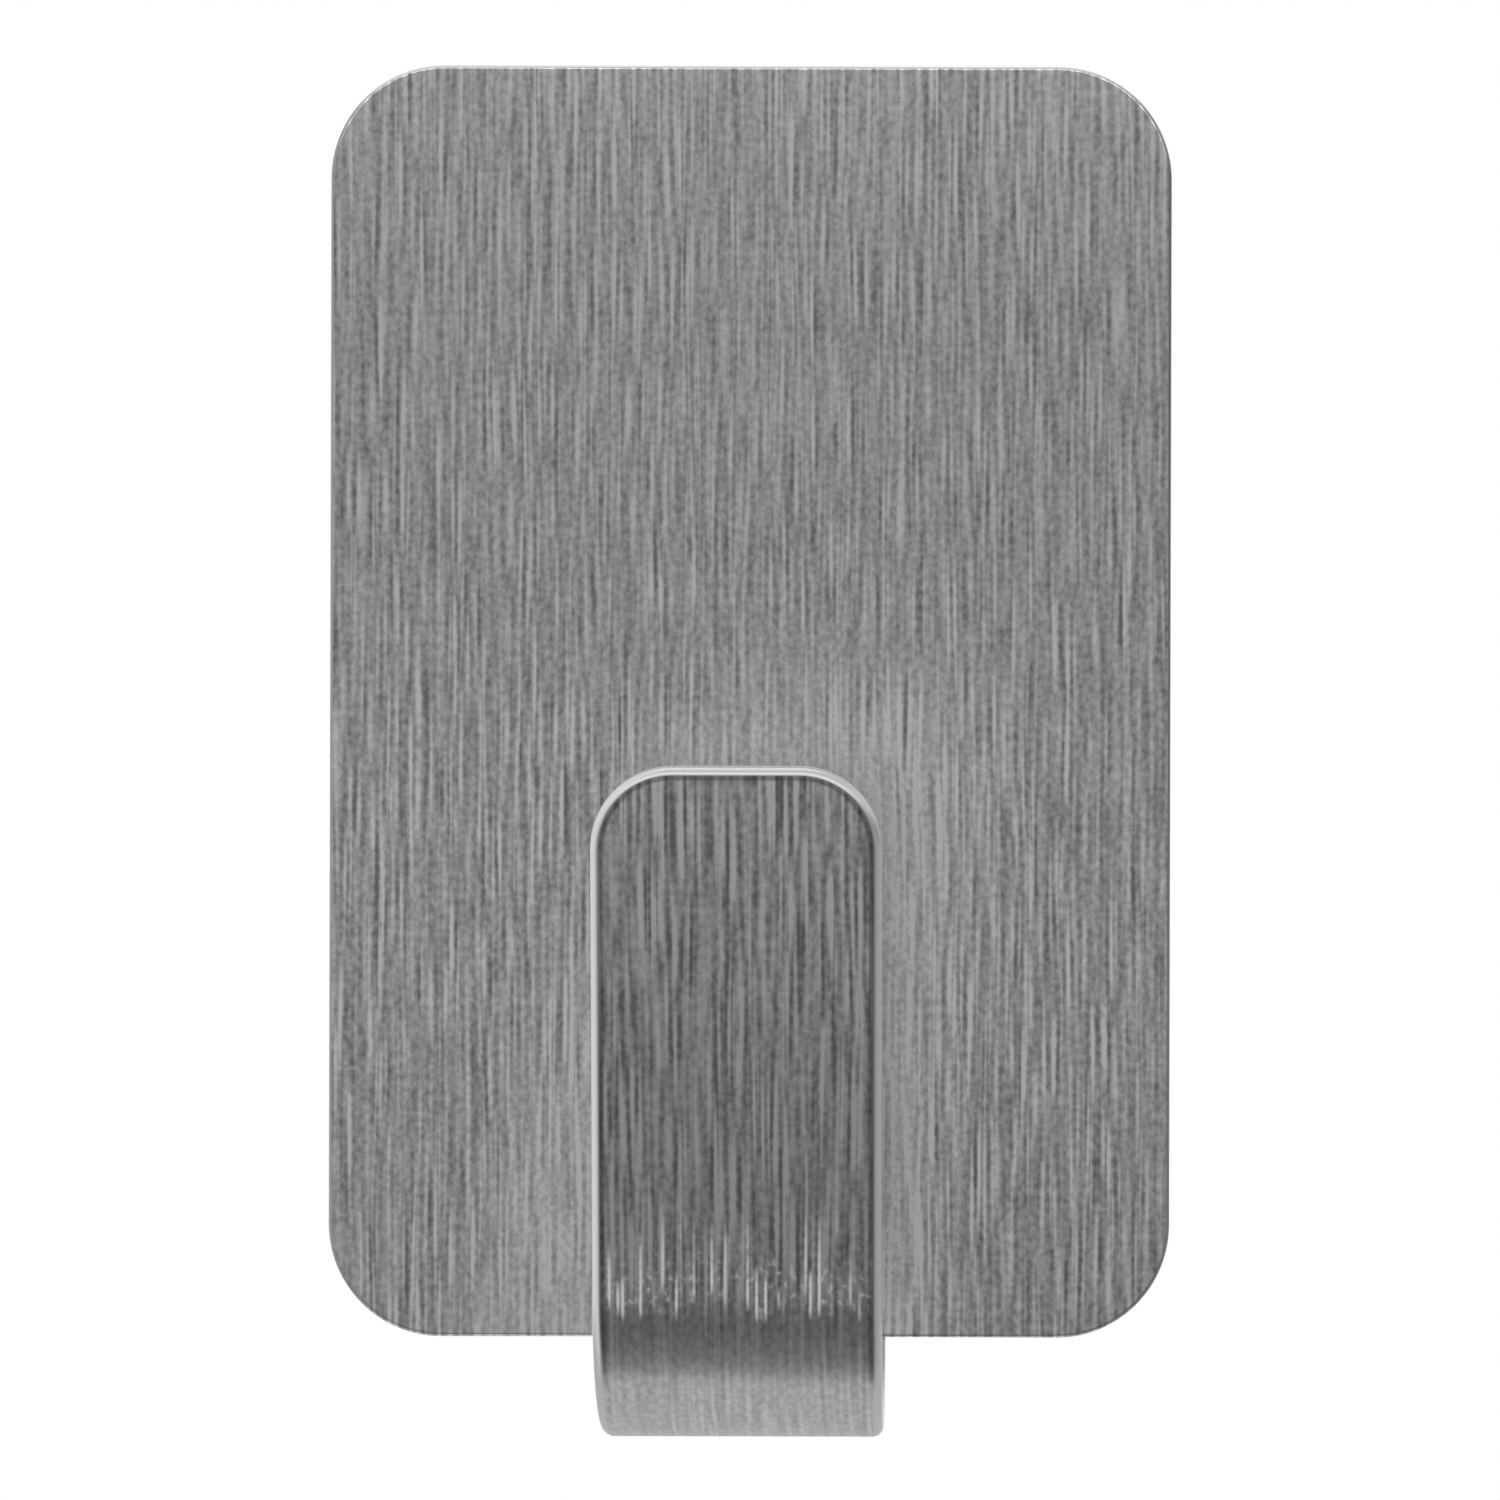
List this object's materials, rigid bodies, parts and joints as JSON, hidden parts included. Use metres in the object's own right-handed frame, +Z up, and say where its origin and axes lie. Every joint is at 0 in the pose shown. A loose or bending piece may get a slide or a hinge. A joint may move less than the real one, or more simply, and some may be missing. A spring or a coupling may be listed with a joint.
{
  "type": "adhesive wall hook",
  "caption": "Round-cornered brushed steel plate with a tongue folded up into a hook, on an adhesive foam pad with a peel-off liner, for hanging light things on a wall.",
  "frame": {"origin": "centre of the pad's wall face, on the outer side of the release liner", "axes": "+Z up along the wall, +Y into the wall, +X to the right as seen from the room"},
  "size_m": [0.04, 0.0163, 0.0644],
  "materials": {
    "brushed_stainless": "satin",
    "acrylic_adhesive": "gloss",
    "white_foam": "matte",
    "liner_paper": "satin"
  },
  "bodies": {
    "hook": {"hook_plate": "brushed_stainless", "plate_adhesive": "acrylic_adhesive", "foam_pad": "white_foam", "wall_adhesive": "acrylic_adhesive"},
    "liner": {"release_liner": "liner_paper"}
  },
  "joints": [
    {"name": "liner_peel", "type": "hinge", "parent": "hook", "child": "liner", "pos_m": [0, -0.0001, 0.02975], "axis": [1, 0, 0], "range_deg": [0, 150]}
  ]
}
